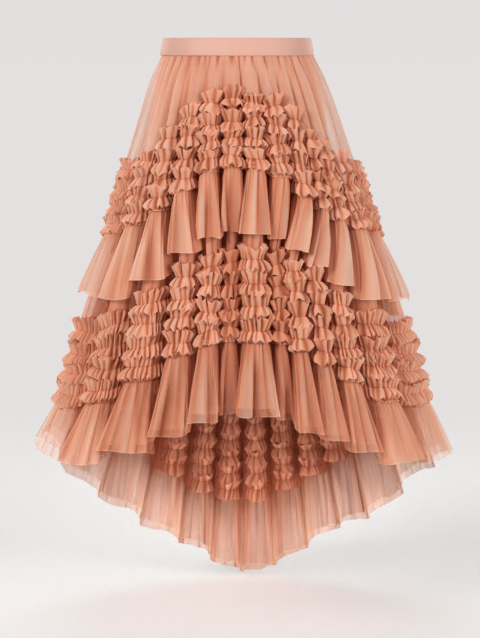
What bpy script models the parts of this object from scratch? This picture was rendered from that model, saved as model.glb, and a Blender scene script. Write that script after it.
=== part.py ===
"""Tiered tulle skirt: ruffle bands above two flounces, short in front and long behind.

Metres, +Z up. The front faces -Y, and +X is on the right of someone looking at it.
The origin is the middle of the waist, half-way up the waistband.

Every sewn piece is a closed solid: a cloth wall with its own thickness, hollow inside.
The walls are worked out from the tables below. Angles run round the skirt from the middle
of the front towards +X, in degrees, so 90 is the right side seam and 180 the middle back.
"""

import bmesh
import bpy
import numpy as np

# ---------------------------------------------------------------- driving sizes

WAISTBAND_HEIGHT = 0.031    # top edge to bottom edge
WAISTBAND_WALL = 0.004      # elastic in a folded satin cover
TULLE_WALL = 0.0016         # panels and flounces
LINING_WALL = 0.0012
SEAM_GAP = 0.0003           # between pieces that are sewn to each other
SLOPING_GAP = 0.0006        # straight up, where a seam slopes round the skirt

GATHER_DEPTH = 0.0035       # gathers of the upper panel, at their fullest
RUFFLE_STRIPS = 4           # in each band, one above the other, their edges meeting
RUFFLE_RISE = 0.0095        # how far the edges of a strip stand out from its band
STITCH_RISE = 0.0025        # and how far the stitches along its middle do
RUFFLE_EDGE_INSET = 0.04    # the first and the last edge lie this share inside the band

UPPER_FLOUNCE_FLARE = 0.012  # how far its hem swings out from the panel behind it
HEM_FLOUNCE_FLARE = 0.011
MIDDLE_PANEL_TUCK = 0.005    # how far the middle panel draws in under the upper flounce
UPPER_HEM_LOWNESS = 0.7      # how far the folds have drifted to the lower creases by that hem

LINING_LENGTH = 0.500       # below the waistband

# The plain wall, level by level: height, half of its width, how deep it is in front of the
# side seams and behind them, and how far its middle lies towards +X.
SECTION_COLUMNS = ("height", "half_width", "front_depth", "back_depth", "middle")
SECTIONS = (
    (0.0155, 0.1320, 0.0985, 0.0965, 0.000),
    (-0.0155, 0.1380, 0.1040, 0.1020, 0.001),
    (-0.048, 0.1550, 0.1170, 0.1170, 0.002),
    (-0.075, 0.1670, 0.1270, 0.1290, 0.003),
    (-0.131, 0.1870, 0.1430, 0.1490, 0.005),
    (-0.205, 0.2095, 0.1620, 0.1720, 0.006),
    (-0.342, 0.2520, 0.1970, 0.2190, 0.010),
    (-0.447, 0.2890, 0.2280, 0.2570, 0.012),
    (-0.520, 0.3070, 0.2430, 0.2800, 0.012),
    (-0.640, 0.3410, 0.2700, 0.3200, 0.012),
    (-0.735, 0.3740, 0.2940, 0.3520, 0.011),
    (-0.900, 0.4250, 0.3350, 0.4020, 0.010),
    (-1.075, 0.4650, 0.3600, 0.4550, 0.010),
)

# The lining, a slim A-line tube.
LINING_COLUMNS = ("height", "half_width", "front_depth", "back_depth", "middle")
LINING_SECTIONS = (
    (-0.0155, 0.1364, 0.1024, 0.1004, 0.001),
    (-0.050, 0.1460, 0.1010, 0.1010, 0.002),
    (-0.190, 0.1640, 0.1080, 0.1240, 0.004),
    (-0.350, 0.1830, 0.1300, 0.1520, 0.006),
    (-0.520, 0.2050, 0.1500, 0.1800, 0.008),
)

# The heights of the seams and hems, by angle from the middle of the front.
SEAM_COLUMNS = ("angle", "upper_band_top", "upper_band_foot", "upper_hem",
                "lower_band_top", "lower_band_foot", "hem")
SEAMS = (
    (0, -0.077, -0.206, -0.318, -0.353, -0.503, -0.631),
    (10, -0.080, -0.208, -0.325, -0.358, -0.507, -0.638),
    (20, -0.087, -0.222, -0.342, -0.372, -0.522, -0.664),
    (30, -0.106, -0.253, -0.376, -0.402, -0.552, -0.686),
    (40, -0.142, -0.284, -0.414, -0.440, -0.592, -0.710),
    (50, -0.174, -0.306, -0.440, -0.470, -0.620, -0.730),
    (60, -0.195, -0.318, -0.449, -0.486, -0.632, -0.737),
    (75, -0.207, -0.331, -0.453, -0.498, -0.640, -0.738),
    (90, -0.212, -0.337, -0.455, -0.503, -0.645, -0.738),
    (110, -0.238, -0.362, -0.480, -0.530, -0.665, -0.760),
    (130, -0.290, -0.418, -0.540, -0.600, -0.732, -0.853),
    (150, -0.350, -0.480, -0.603, -0.680, -0.812, -0.935),
    (165, -0.398, -0.529, -0.652, -0.736, -0.872, -1.024),
    (174, -0.414, -0.546, -0.670, -0.756, -0.896, -1.067),
    (180, -0.420, -0.552, -0.676, -0.762, -0.905, -1.078),
)

# The creases between the big folds: their angle in the upper tiers and in the lower ones,
# and how deep the cloth goes in there. The front has 13 folds between its side seams.
CREASE_COLUMNS = ("upper", "lower", "depth")
FRONT_CREASES = (
    (-90.0, -90.0, 0.010),
    (-62.0, -61.0, 0.016),
    (-46.5, -44.5, 0.020),
    (-34.5, -28.5, 0.022),
    (-22.4, -16.7, 0.022),
    (-10.2, -8.2, 0.022),
    (2.2, 0.1, 0.022),
    (14.2, 8.6, 0.022),
    (26.6, 15.9, 0.022),
    (36.2, 23.1, 0.022),
    (43.3, 31.5, 0.022),
    (53.2, 42.0, 0.020),
    (67.4, 59.7, 0.016),
    (90.0, 90.0, 0.010),
)
# The back has the same number, spaced a little more evenly, from the right seam to the left.
BACK_CREASES = (
    (90.0, 90.0, 0.010),
    (109.0, 112.0, 0.014),
    (124.0, 130.0, 0.017),
    (137.0, 143.0, 0.020),
    (148.5, 152.5, 0.020),
    (159.0, 162.0, 0.021),
    (170.5, 171.0, 0.022),
    (181.5, 180.0, 0.022),
    (193.0, 188.5, 0.021),
    (205.0, 197.5, 0.020),
    (217.0, 209.0, 0.020),
    (231.0, 224.0, 0.017),
    (248.0, 246.0, 0.014),
    (270.0, 270.0, 0.010),
)

FOLD_COLUMNS = 6                             # from one crease to the next
FOLD_ROUNDNESS = 3.0                         # higher is a squarer fold
LEVEL_SHARE = 0.7                            # seams run this level across a fold, then step
YOKE_FOOT_FOLDS = 0.8                        # the folds start this deep above the upper band
MOST_MITRE = 2.4                             # limit of the extra thickness in a crease
SIDE_SEAM_HALF_GAP = SEAM_GAP / 2
RING_STEPS = 40                              # columns of the waistband and the lining
LINING_ROWS = 3

TULLE_COLOUR = (0.78, 0.37, 0.25, 1.0)
RUFFLE_COLOUR = (0.80, 0.40, 0.28, 1.0)
SATIN_COLOUR = (0.81, 0.40, 0.28, 1.0)
LINING_COLOUR = (0.76, 0.38, 0.27, 1.0)


# ---------------------------------------------------------------- reading the tables

def smooth_read(places, values, at):
    """Read a table along a smooth curve through its rows (cubic Hermite)."""
    slopes = np.gradient(values, places)
    at = np.clip(at, places[0], places[-1])
    row = np.clip(np.searchsorted(places, at, side="right") - 1, 0, len(places) - 2)
    span = places[row + 1] - places[row]
    s = (at - places[row]) / span
    return ((2 * s**3 - 3 * s**2 + 1) * values[row] + (s**3 - 2 * s**2 + s) * span * slopes[row]
            + (3 * s**2 - 2 * s**3) * values[row + 1] + (s**3 - s**2) * span * slopes[row + 1])


def column(table, names, name):
    return np.array([row[names.index(name)] for row in table], dtype=float)


def section(table, name, height):
    """A size of the wall at a height. The tables run downwards, so they are read reversed."""
    places = column(table, SECTION_COLUMNS, "height")[::-1]
    return smooth_read(places, column(table, SECTION_COLUMNS, name)[::-1], height)


def seam_height(name, angle):
    """Height of a seam or hem, at angles in degrees. Left and right are alike."""
    from_front = np.abs((angle + 180.0) % 360.0 - 180.0)
    return smooth_read(column(SEAMS, SEAM_COLUMNS, "angle"), column(SEAMS, SEAM_COLUMNS, name),
                       from_front)


def plain_wall(table, angle, height):
    """Points of a plain wall, and the level direction that points straight out of it."""
    turn = np.radians(angle)
    half_width = section(table, "half_width", height)
    depth = np.where(np.cos(turn) > 0, section(table, "front_depth", height),
                     section(table, "back_depth", height))
    points = np.stack([section(table, "middle", height) + half_width * np.sin(turn),
                       -depth * np.cos(turn), height], axis=-1)
    out = np.stack([np.sin(turn) / half_width, -np.cos(turn) / depth, 0 * turn], axis=-1)
    return points, out / np.linalg.norm(out, axis=-1, keepdims=True)


# ---------------------------------------------------------------- folds

class Half:
    """The columns of the front or the back, from one side seam to the other."""

    def __init__(self, creases):
        upper = column(creases, CREASE_COLUMNS, "upper")
        lower = column(creases, CREASE_COLUMNS, "lower")
        depth = column(creases, CREASE_COLUMNS, "depth")
        folds = len(creases) - 1
        self.place = np.arange(folds * FOLD_COLUMNS + 1) / FOLD_COLUMNS
        self.across = 2 * (self.place % 1) - 1      # -1 in the crease, 0 on top of the fold
        rows = np.arange(len(creases))
        self.upper = np.interp(self.place, rows, upper)
        self.lower = np.interp(self.place, rows, lower)
        self.depth = np.interp(self.place, rows, depth)
        self.middle = np.minimum(np.floor(self.place), folds - 1) + 0.5
        # Seams are set out at the fold tops and at the two side seams.
        self.knots = np.concatenate([[0.0], np.arange(folds) + 0.5, [folds]])

    def angle(self, lowness):
        """Angles of the columns: lowness 0 in the upper tiers, 1 in the lower ones."""
        return self.upper + (self.lower - self.upper) * lowness

    def seam(self, name, lowness):
        """A seam's heights: almost level across a fold, with the step down in the creases."""
        heights = seam_height(name, np.interp(self.knots, self.place, self.angle(lowness)))
        sloping = np.interp(self.place, self.knots, heights)
        level = LEVEL_SHARE * (1 - np.abs(self.across)**4)
        return sloping + (np.interp(self.middle, self.knots, heights) - sloping) * level

    def fold(self):
        """How far each column lies in from the tops of the folds."""
        return -self.depth * np.abs(self.across)**FOLD_ROUNDNESS

    def swell(self):
        """1 on top of a fold, 0 in the crease."""
        return 1 - np.abs(self.across)**2.5

    def gather(self):
        """Two small gathers to each fold."""
        return -np.cos(2 * np.pi * self.across)


def moved_wall(angle, height, move):
    """One ring of a tulle wall: the plain wall moved out or in, column by column."""
    points, out = plain_wall(SECTIONS, angle, height)
    return points + out * move[:, None], out


def at_seams(grid):
    """Bring the first and the last column flat to the side seams, half a gap from them."""
    side = np.sign(grid[:, len(grid[0]) // 2, 1].mean())
    grid[:, 0, 1] = side * SIDE_SEAM_HALF_GAP
    grid[:, -1, 1] = side * SIDE_SEAM_HALF_GAP
    return grid


def even_step(grid, closed=False):
    """Level steps that move both runs beside each point out by 1, mitred in the creases."""
    runs = np.roll(grid, -1, axis=1) - grid
    if not closed:
        runs = runs[:, :-1]
    normals = np.stack([runs[..., 1], -runs[..., 0]], axis=-1)
    normals /= np.linalg.norm(normals, axis=-1, keepdims=True)
    if closed:
        before = np.roll(normals, 1, axis=1)
        after = normals
    else:
        mirrored = normals * (1, -1)
        before = np.concatenate([mirrored[:, :1], normals], axis=1)
        after = np.concatenate([normals, mirrored[:, -1:]], axis=1)
    step = (before + after) / (1 + (before * after).sum(-1, keepdims=True))
    length = np.linalg.norm(step, axis=-1, keepdims=True)
    step *= np.minimum(1, MOST_MITRE / length)
    return np.concatenate([step, 0 * step[..., :1]], axis=-1)


# ---------------------------------------------------------------- making solids

def finish_material(name, colour, roughness):
    material = bpy.data.materials.new(name)
    material.use_nodes = True
    shader = material.node_tree.nodes["Principled BSDF"]
    shader.inputs["Base Color"].default_value = colour
    shader.inputs["Roughness"].default_value = roughness
    shader.inputs["Metallic"].default_value = 0.0
    material.diffuse_color = colour
    return material


def solid(name, inner, outer, material, closed=False):
    """Close an inner and an outer grid of points, row by row from the top, into one wall."""
    mesh = bmesh.new()
    inside = [[mesh.verts.new(point) for point in row] for row in inner]
    outside = [[mesh.verts.new(point) for point in row] for row in outer]
    count = len(inside[0])
    steps = [(i, (i + 1) % count) for i in range(count if closed else count - 1)]
    for grid in (inside, outside):
        for above, below in zip(grid, grid[1:]):
            for i, j in steps:
                mesh.faces.new((above[i], below[i], below[j], above[j]))
    for end in (0, -1):
        for i, j in steps:
            mesh.faces.new((inside[end][i], outside[end][i], outside[end][j], inside[end][j]))
    if not closed:
        for end in (0, -1):
            mesh.faces.new([row[end] for row in outside] + [row[end] for row in inside[::-1]])
    bmesh.ops.recalc_face_normals(mesh, faces=mesh.faces)
    data = bpy.data.meshes.new(name)
    mesh.to_mesh(data)
    mesh.free()
    piece = bpy.data.objects.new(name, data)
    bpy.context.scene.collection.objects.link(piece)
    data.materials.append(material)
    return piece


# ---------------------------------------------------------------- the sewn pieces

def make_waistband(material):
    angle = np.arange(RING_STEPS) * 360.0 / RING_STEPS
    half = WAISTBAND_HEIGHT / 2
    bend = WAISTBAND_WALL / 4
    # Each row: its height, and how far it stands out from the middle of the wall, as a share.
    profile = ((half, 0.25), (half - bend, 0.5), (bend - half, 0.5), (-half, 0.25))
    grids = []
    for side in (-1, 1):
        rows = []
        for height, share in profile:
            points, out = plain_wall(SECTIONS, angle, np.full(RING_STEPS, height))
            rows.append(points + out * side * share * WAISTBAND_WALL)
        grids.append(np.array(rows))
    return solid("waistband", grids[0], grids[1], material, closed=True)


def make_lining(material):
    angle = np.arange(RING_STEPS) * 360.0 / RING_STEPS
    top = -WAISTBAND_HEIGHT / 2 - SEAM_GAP
    rows = []
    for height in np.linspace(top, top - LINING_LENGTH, LINING_ROWS):
        points, out = plain_wall(LINING_SECTIONS, angle, np.full(RING_STEPS, height))
        rows.append(points - out * LINING_WALL)
    inner = np.array(rows)
    return solid("lining", inner, inner + even_step(inner, closed=True) * LINING_WALL,
                 material, closed=True)


def make_upper_panel(name, half, material):
    """From the waistband to the upper ruffle band: gathers that grow into the big folds."""
    angle = half.angle(0)
    top = np.full(len(angle), -WAISTBAND_HEIGHT / 2 - SEAM_GAP)
    foot = half.seam("upper_band_top", 0) + SLOPING_GAP / 2
    rows = []
    # Each row: share of the way down, gathers and folds as shares of their full depth.
    for down, gathers, folds in ((0.0, 0.25, 0.0), (0.4, 1.0, 0.3), (1.0, 0.0, YOKE_FOOT_FOLDS)):
        move = half.gather() * GATHER_DEPTH * gathers + half.fold() * folds
        rows.append(moved_wall(angle, top + (foot - top) * down, move)[0])
    inner = at_seams(np.array(rows))
    return solid(name, inner, inner + even_step(inner) * TULLE_WALL, material)


def ruffle_profile():
    """How far down a band its edges and stitch lines lie, and how far each stands out."""
    edges = np.arange(RUFFLE_STRIPS + 1) / RUFFLE_STRIPS
    edges[[0, -1]] += (RUFFLE_EDGE_INSET, -RUFFLE_EDGE_INSET)
    stitches = (np.arange(RUFFLE_STRIPS) + 0.5) / RUFFLE_STRIPS
    downs = np.concatenate([[0.0], edges, stitches, [1.0]])
    rises = np.concatenate([[0.0], np.full(len(edges), RUFFLE_RISE),
                            np.full(len(stitches), STITCH_RISE), [0.0]])
    order = np.argsort(downs)
    return downs[order], rises[order]


def make_ruffle_band(name, half, lowness, top_name, foot_name, top_folds, material):
    """A folded band, plain inside, with the strips of ruffle raised on its outside."""
    angle = half.angle(lowness)
    top = half.seam(top_name, lowness) - SLOPING_GAP / 2
    foot = half.seam(foot_name, lowness) + SLOPING_GAP / 2
    downs, rises = ruffle_profile()
    rows = []
    outs = []
    for down in downs:
        deepness = np.interp(down, (0, 0.3), (top_folds, 1))
        points, out = moved_wall(angle, top + (foot - top) * down, half.fold() * deepness)
        rows.append(points)
        outs.append(out)
    base = at_seams(np.array(rows))
    lift = rises[:, None] * half.swell()[None, :]
    outer = base + even_step(base) * TULLE_WALL + np.array(outs) * lift[..., None]
    inner = base[[0, len(downs) // 2, -1]] if top_folds < 1 else base[[0, -1]]
    return solid(name, inner, at_seams(outer), material)


def make_middle_panel(name, half, material):
    """Between the ruffle bands. Its folds drift from the upper creases to the lower ones."""
    top = half.seam("upper_band_foot", 0) - SLOPING_GAP / 2
    foot = half.seam("lower_band_top", 1) + SLOPING_GAP / 2
    rows = []
    for down, tuck in ((0.0, 0.0), (0.5, 1.0), (1.0, 0.0)):
        height = top + (foot - top) * down
        rows.append(moved_wall(half.angle(down), height, half.fold() - tuck * MIDDLE_PANEL_TUCK)[0])
    inner = at_seams(np.array(rows))
    return solid(name, inner, inner + even_step(inner) * TULLE_WALL, material)


def make_upper_flounce(name, half, material):
    """Hangs from the upper ruffle band, outside the middle panel, and swings out from it."""
    panel_top = half.seam("upper_band_foot", 0) - SLOPING_GAP / 2
    panel_foot = half.seam("lower_band_top", 1) + SLOPING_GAP / 2
    panel_length = panel_top - panel_foot
    top = panel_top - SLOPING_GAP
    hem = half.seam("upper_hem", UPPER_HEM_LOWNESS)
    rows = []
    outs = []
    shares = (0.0, 0.45, 1.0)
    for down in shares:
        height = top + (hem - top) * down
        lowness = (panel_top - height) / panel_length
        points, out = moved_wall(half.angle(lowness), height, half.fold())
        rows.append(points)
        outs.append(out)
    base = at_seams(np.array(rows))
    step = even_step(base)
    flare = np.array(shares)[:, None, None] * UPPER_FLOUNCE_FLARE * np.array(outs)
    inner = base + step * (TULLE_WALL + SEAM_GAP) + flare
    return solid(name, at_seams(inner), at_seams(inner + step * TULLE_WALL), material)


def make_hem_flounce(name, half, material):
    """Hangs from the lower ruffle band to the hem, with folds that open as they fall."""
    angle = half.angle(1)
    top = half.seam("lower_band_foot", 1) - SLOPING_GAP / 2
    hem = half.seam("hem", 1)
    rows = []
    for down, opening in ((0.0, 0.0), (0.3, 0.2), (0.65, 0.6), (1.0, 1.0)):
        move = half.fold() * (1 + 0.25 * opening) + HEM_FLOUNCE_FLARE * opening
        rows.append(moved_wall(angle, top + (hem - top) * down, move)[0])
    inner = at_seams(np.array(rows))
    return solid(name, inner, inner + even_step(inner) * TULLE_WALL, material)


def main():
    for item in list(bpy.data.objects):
        bpy.data.objects.remove(item)

    satin = finish_material("satin", SATIN_COLOUR, 0.45)
    lining = finish_material("lining", LINING_COLOUR, 0.55)
    tulle = finish_material("tulle", TULLE_COLOUR, 0.85)
    ruffle = finish_material("ruffle", RUFFLE_COLOUR, 0.85)

    make_waistband(satin)
    make_lining(lining)
    for side, creases in (("front", FRONT_CREASES), ("back", BACK_CREASES)):
        half = Half(creases)
        make_upper_panel("upper_panel_" + side, half, tulle)
        make_ruffle_band("upper_ruffles_" + side, half, 0, "upper_band_top",
                         "upper_band_foot", YOKE_FOOT_FOLDS, ruffle)
        make_middle_panel("middle_panel_" + side, half, tulle)
        make_upper_flounce("upper_flounce_" + side, half, tulle)
        make_ruffle_band("lower_ruffles_" + side, half, 1, "lower_band_top",
                         "lower_band_foot", 1, ruffle)
        make_hem_flounce("hem_flounce_" + side, half, tulle)


main()
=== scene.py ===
# %% [markdown]
# # A tiered tulle skirt
# Tulle is a soft net. One layer hardly hides what is behind it, and a fold or a gather, where
# the cloth is seen edge-on or several times over, looks almost solid. This skirt is made of
# such layers, sewn to a satin waistband over a slim lining: a gathered upper panel, two bands
# of ruffles with a plain panel between them, and a flounce under each band. The lesson starts
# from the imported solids, which fix every size and place.

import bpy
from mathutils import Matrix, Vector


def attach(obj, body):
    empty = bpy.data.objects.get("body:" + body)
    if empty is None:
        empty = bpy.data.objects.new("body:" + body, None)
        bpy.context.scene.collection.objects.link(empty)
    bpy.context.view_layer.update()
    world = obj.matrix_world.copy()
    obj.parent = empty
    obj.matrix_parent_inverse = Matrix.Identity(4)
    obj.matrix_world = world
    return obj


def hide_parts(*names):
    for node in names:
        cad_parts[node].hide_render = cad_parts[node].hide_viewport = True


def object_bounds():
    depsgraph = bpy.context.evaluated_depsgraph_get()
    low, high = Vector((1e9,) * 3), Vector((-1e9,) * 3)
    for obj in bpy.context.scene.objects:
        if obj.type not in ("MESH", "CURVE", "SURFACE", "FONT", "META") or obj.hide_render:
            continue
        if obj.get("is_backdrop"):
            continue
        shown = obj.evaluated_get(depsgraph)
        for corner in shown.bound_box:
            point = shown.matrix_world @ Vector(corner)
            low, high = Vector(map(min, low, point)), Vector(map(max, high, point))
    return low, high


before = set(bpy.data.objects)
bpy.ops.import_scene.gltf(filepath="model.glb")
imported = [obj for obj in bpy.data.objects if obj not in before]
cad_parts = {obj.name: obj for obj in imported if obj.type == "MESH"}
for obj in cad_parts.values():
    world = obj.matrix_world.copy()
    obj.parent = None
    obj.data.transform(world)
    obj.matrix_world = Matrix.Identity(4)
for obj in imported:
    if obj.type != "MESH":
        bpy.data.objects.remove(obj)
solid_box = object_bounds()
print("solids:", len(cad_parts), "lowest point", round(solid_box[0].z, 4))

# %% [markdown]
# ## Tools for the whole lesson
# Cloth that is gathered round a body is easiest to work out as rows of points, so `numpy`
# does the sums and Blender gets finished meshes.

# %% Imports
import math

import bpy
import numpy as np

bpy.ops.object.select_all(action="DESELECT")
print("tools:", bpy.app.version_string, "and numpy", np.__version__)

# %% [markdown]
# ## Camera
# A garment keeps its proportions when it is looked at from far away through a long lens. The
# camera stands a little above the waist and looks slightly down.

# %% Camera
CAMERA_PLACE = (0.0054, -4.2, 0.03)
CAMERA_PITCH = 7.156     # degrees down from level
CAMERA_LENS = 129.9      # millimetres

bpy.ops.object.camera_add(location=CAMERA_PLACE, rotation=(math.radians(90 - CAMERA_PITCH), 0, 0))
camera = bpy.context.object
camera.data.lens = CAMERA_LENS
bpy.context.scene.camera = camera
print("camera lens", camera.data.lens)

# %% [markdown]
# ## Helpers for materials
# A material is a set of nodes, and each node needs the same few lines: its kind, its options,
# its values and its links. One helper says all of that in a single call, and a second one does
# the sums between nodes, so that the recipes below stay short enough to read.

# %% Node helpers
MIX_FACTOR, MIX_FIRST, MIX_SECOND, MIX_RESULT = 0, 6, 7, 2     # sockets of a colour Mix node


def add_node(tree, kind, options=None, values=None, links=None):
    """Add a node, with its options, its socket values and its links from other sockets."""
    made = tree.nodes.new(kind)
    for key, value in (options or {}).items():
        setattr(made, key, value)
    for key, value in (values or {}).items():
        made.inputs[key].default_value = value
    for key, socket in (links or {}).items():
        tree.links.new(socket, made.inputs[key])
    return made


def sums(tree, operation, first, second):
    """A Math node. Each side is a number or another node's output."""
    made = add_node(tree, "ShaderNodeMath", {"operation": operation})
    for slot, side in enumerate((first, second)):
        if isinstance(side, (int, float)):
            made.inputs[slot].default_value = side
        else:
            tree.links.new(side, made.inputs[slot])
    return made.outputs[0]


print("material helpers ready")

# %% [markdown]
# ## Floor
# The floor is one very large pale disc, and the world behind it is as pale, so that the skirt
# can be seen from every side. Near the skirt the lamps light the floor, and the skirt throws
# its shadow there. Further away the lamps don't reach, so the floor passes over to a plain
# glow, as bright as the world, and the horizon disappears. The glow is there for the eye alone:
# a Light Path node keeps it from lighting the cloth.

# %% Floor
FLOOR_HEIGHT = -1.094
FLOOR_RADIUS = 80.0
FLOOR_CORNERS = 128

bpy.ops.mesh.primitive_circle_add(vertices=FLOOR_CORNERS, radius=FLOOR_RADIUS,
                                  fill_type="NGON", location=(0, 0, FLOOR_HEIGHT))
floor = bpy.context.object
floor.name = "studio_floor"
bpy.ops.object.transform_apply(location=True, rotation=True, scale=True)
floor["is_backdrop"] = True
print("floor faces:", len(floor.data.polygons))

# %% Finish of the floor
FLOOR_COLOUR = (0.87, 0.845, 0.835, 1.0)
LIT_COLOUR = (0.82, 0.82, 0.82, 1.0)      # cooler, because the skirt throws warm light on it
BLACK = (0.0, 0.0, 0.0, 1.0)
NEAR_GLOW = 0.17         # near the skirt the floor looks a little brighter than it is
FAR_GLOW = 0.88
LIT_UP_TO = 1.7          # metres from the middle of the waist
GLOWS_FROM = 3.2

floor_material = bpy.data.materials.new("pale floor")
floor_material.use_nodes = True
floor_tree = floor_material.node_tree
floor_shader = floor_tree.nodes["Principled BSDF"]
floor_shader.inputs["Roughness"].default_value = 0.9
floor_shader.inputs["Specular IOR Level"].default_value = 0.1
floor_shader.inputs["Emission Color"].default_value = FLOOR_COLOUR

spot = add_node(floor_tree, "ShaderNodeTexCoord").outputs["Object"]
away = add_node(floor_tree, "ShaderNodeVectorMath", {"operation": "LENGTH"},
                links={0: spot}).outputs["Value"]
fading = add_node(floor_tree, "ShaderNodeMapRange", {"interpolation_type": "SMOOTHSTEP"},
                  {"From Min": LIT_UP_TO, "From Max": GLOWS_FROM},
                  {"Value": away}).outputs["Result"]
lit = add_node(floor_tree, "ShaderNodeMix", {"data_type": "RGBA"},
               {MIX_FIRST: LIT_COLOUR, MIX_SECOND: BLACK},
               {MIX_FACTOR: fading}).outputs[MIX_RESULT]
glow = add_node(floor_tree, "ShaderNodeMapRange",
                values={"To Min": NEAR_GLOW, "To Max": FAR_GLOW},
                links={"Value": fading}).outputs["Result"]
for_the_eye = add_node(floor_tree, "ShaderNodeLightPath").outputs["Is Camera Ray"]
floor_tree.links.new(lit, floor_shader.inputs["Base Color"])
floor_tree.links.new(sums(floor_tree, "MULTIPLY", glow, for_the_eye),
                     floor_shader.inputs["Emission Strength"])
floor.data.materials.append(floor_material)
print("the floor's own glow takes over from", LIT_UP_TO, "to", GLOWS_FROM, "m")

# %% [markdown]
# ## Lamps
# Six lamps give soft light. The key stands high in front on the left, and the fill lower on
# the right. They are nearly as strong, so the net glows, and each fold still has a darker
# side. A very weak narrow one reaches under the front hem to the inside of the back, one
# hangs overhead, and a pair behind the skirt lights its back. None of them can be seen.

# %% Lamps
LAMPS = (
    # name, place, aim, width, depth, watts, spread in degrees, colour
    ("key", (-2.5, -2.7, 1.2), (0.0, 0.0, -0.5), 1.3, 1.3, 108.0, 180, (1.0, 0.985, 0.97)),
    ("fill", (2.8, -2.6, 0.5), (0.0, 0.0, -0.5), 1.8, 1.8, 91.0, 180, (1.0, 0.99, 0.98)),
    ("low", (-0.1, -3.2, -0.45), (0.0, 0.45, -1.00), 0.8, 0.1, 0.6, 9, (1.0, 0.99, 0.98)),
    ("top", (-0.3, -0.6, 2.4), (0.0, 0.1, -1.0), 2.0, 2.0, 16.0, 180, (1.0, 1.0, 1.0)),
    ("back_left", (-2.6, 2.8, 0.5), (0.0, 0.0, -0.5), 1.6, 1.6, 48.0, 180, (1.0, 0.99, 0.98)),
    ("back_right", (2.6, 2.8, 0.5), (0.0, 0.0, -0.5), 1.6, 1.6, 48.0, 180, (1.0, 0.99, 0.98)),
)


def aim(place, target):
    """The turn that points a lamp from one place at another."""
    direction = np.subtract(target, place)
    level = math.hypot(direction[0], direction[1])
    return (math.radians(90) + math.atan2(direction[2], level), 0,
            math.atan2(-direction[0], direction[1]))


for name, place, target, width, depth, watts, spread, colour in LAMPS:
    bpy.ops.object.light_add(type="AREA", location=place, rotation=aim(place, target))
    lamp = bpy.context.object
    lamp.name = "lamp_" + name
    lamp.data.shape = "RECTANGLE"
    lamp.data.size = width
    lamp.data.size_y = depth
    lamp.data.energy = watts
    lamp.data.spread = math.radians(spread)
    lamp.data.color = colour
    lamp.visible_camera = False
print("lamps:", len(LAMPS))

# %% [markdown]
# ## World
# For the eye the world is as pale as the far floor, and for the cloth it is only a faint
# light. Colours are shown as they are, and one look through the skirt may pass many layers
# of net before it ends.

# %% World
SKY = 0.14               # of the world, as a light
NET_LAYERS = 40          # that one look may pass

world = bpy.data.worlds.new("soft studio")
world.use_nodes = True
backdrop = world.node_tree.nodes["Background"]
backdrop.inputs["Color"].default_value = FLOOR_COLOUR
for_the_eye = add_node(world.node_tree, "ShaderNodeLightPath").outputs["Is Camera Ray"]
strength = add_node(world.node_tree, "ShaderNodeMapRange",
                    values={"To Min": SKY, "To Max": FAR_GLOW}, links={"Value": for_the_eye})
world.node_tree.links.new(strength.outputs["Result"], backdrop.inputs["Strength"])
bpy.context.scene.world = world
bpy.context.scene.view_settings.view_transform = "Standard"
bpy.context.scene.cycles.transparent_max_bounces = NET_LAYERS
print("world:", world.name)

# %% [markdown]
# ## The skirt's own sizes
# The tables repeat the ones that the solids were worked out from: the plain wall level by
# level, the heights of the seams round the skirt, and the creases between its big folds.
# Only two creases in the lower front are moved, beside the two folds that lie behind the
# others. Angles run from the middle of the front towards +X, and 90 is the side seam.

# %% Tables
WAISTBAND_HEIGHT = 0.031
SECTION_COLUMNS = ("height", "half_width", "front_depth", "back_depth", "middle")
SECTIONS = (
    (0.0155, 0.1320, 0.0985, 0.0965, 0.000),
    (-0.0155, 0.1380, 0.1040, 0.1020, 0.001),
    (-0.048, 0.1550, 0.1170, 0.1170, 0.002),
    (-0.075, 0.1670, 0.1270, 0.1290, 0.003),
    (-0.131, 0.1870, 0.1430, 0.1490, 0.005),
    (-0.205, 0.2095, 0.1620, 0.1720, 0.006),
    (-0.342, 0.2520, 0.1970, 0.2190, 0.010),
    (-0.447, 0.2890, 0.2280, 0.2570, 0.012),
    (-0.520, 0.3070, 0.2430, 0.2800, 0.012),
    (-0.640, 0.3410, 0.2700, 0.3200, 0.012),
    (-0.735, 0.3740, 0.2940, 0.3520, 0.011),
    (-0.900, 0.4250, 0.3350, 0.4020, 0.010),
    (-1.075, 0.4650, 0.3600, 0.4550, 0.010),
)
LINING_SECTIONS = (
    (-0.0155, 0.1364, 0.1024, 0.1004, 0.001),
    (-0.050, 0.1460, 0.1010, 0.1010, 0.002),
    (-0.190, 0.1640, 0.1080, 0.1240, 0.004),
    (-0.350, 0.1830, 0.1300, 0.1520, 0.006),
    (-0.520, 0.2050, 0.1500, 0.1800, 0.008),
)
LINING_LENGTH = 0.500

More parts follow.
